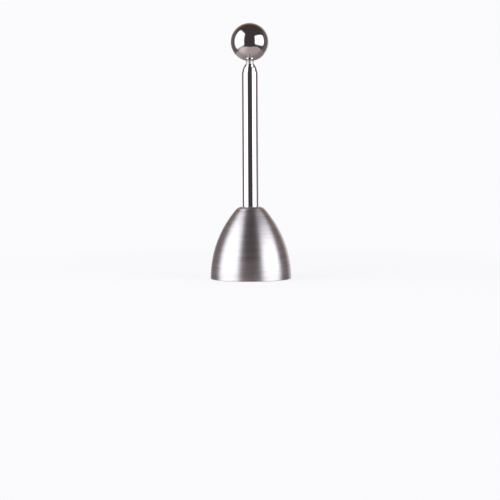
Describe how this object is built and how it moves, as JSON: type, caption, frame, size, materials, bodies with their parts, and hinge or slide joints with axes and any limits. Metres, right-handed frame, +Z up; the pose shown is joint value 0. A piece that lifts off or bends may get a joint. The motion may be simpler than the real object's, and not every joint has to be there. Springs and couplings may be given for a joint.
{
  "type": "egg topper",
  "caption": "Spring-loaded egg topper: a steel bell on a slim tube, with a ball on a rod that is pulled up and let go so that a striker hits the bell's crown.",
  "frame": {"origin": "on the axis, in the plane of the bell's rim, which is the lowest point", "axes": "+Z up the axis from the rim to the ball; X and Y across it, and the front of the picture is -Y"},
  "size_m": [0.0406, 0.0406, 0.1281],
  "materials": {
    "brushed_bell": "stainless steel, brushed round the axis",
    "polished_tube": "stainless steel, polished",
    "polished_ball": "stainless steel, mirror polished",
    "ground_rod": "stainless steel, bright ground",
    "bush_brass": "turned brass",
    "spring_wire": "drawn stainless spring wire",
    "turned_steel": "stainless steel, as turned",
    "washer_steel": "stainless steel, stamped and tumbled",
    "screw_steel": "stainless steel, bright"
  },
  "bodies": {
    "housing": {"bell_cup": "brushed_bell", "handle_tube": "polished_tube", "guide_bush": "bush_brass", "upper_spring_washer": "washer_steel", "pull_spring": "spring_wire", "anvil_plug": "turned_steel", "crown_washer": "washer_steel", "lock_washer": "washer_steel", "cup_screw": "screw_steel"},
    "spring_follower": {"lower_spring_washer": "washer_steel"},
    "plunger": {"pull_rod": "ground_rod", "ball_knob": "polished_ball", "striker": "turned_steel", "striker_pin": "turned_steel"}
  },
  "joints": [
    {"name": "knob_pull", "type": "slide", "parent": "housing", "child": "spring_follower", "axis": [0, 0, 1], "range_m": [0, 0.02], "stiffness_N_per_m": 706, "springref_m": -0.0088, "deforming": ["pull_spring"]},
    {"name": "knob_spin", "type": "hinge", "parent": "spring_follower", "child": "plunger", "pos_m": [0, 0, 0.07], "axis": [0, 0, 1], "continuous": true}
  ]
}
